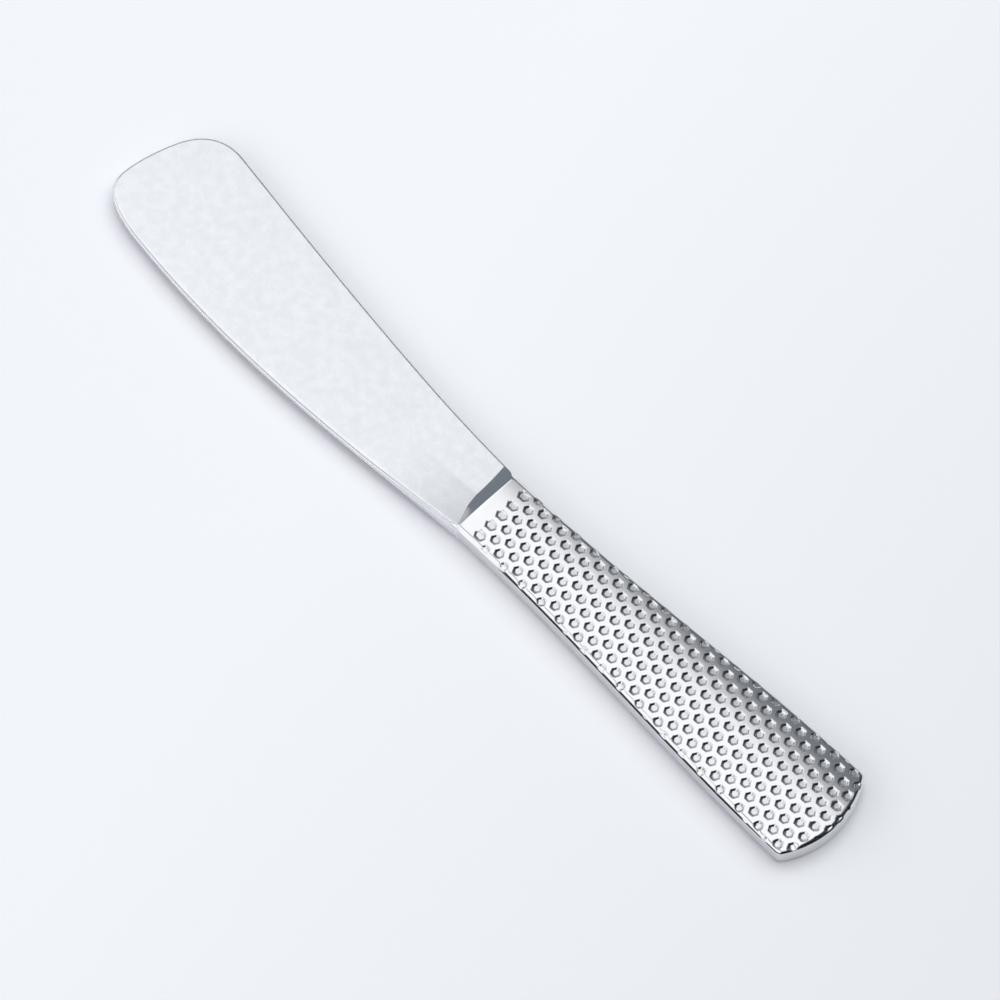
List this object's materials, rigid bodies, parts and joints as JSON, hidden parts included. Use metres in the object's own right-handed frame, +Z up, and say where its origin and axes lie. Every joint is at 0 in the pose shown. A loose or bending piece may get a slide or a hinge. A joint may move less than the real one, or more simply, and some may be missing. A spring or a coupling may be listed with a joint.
{
  "type": "butter knife",
  "caption": "Broad-bladed butter knife with a hollow handle pressed all over with small hexagonal dimples.",
  "frame": {"origin": "on the table under the middle of the handle, in the narrow flat that the handle rests on", "axes": "+X along the handle towards its butt, +Y towards the blade's spine, +Z up"},
  "size_m": [0.1667, 0.026, 0.0048],
  "materials": {
    "blade_steel": "satin, finely tumbled stainless steel",
    "handle_steel": "mirror-polished stainless steel",
    "filler": "cast cement, hidden inside the handle"
  },
  "bodies": {
    "root": {"blade": "blade_steel", "handle_upper_shell": "handle_steel", "handle_lower_shell": "handle_steel", "handle_filler": "filler"}
  },
  "joints": []
}
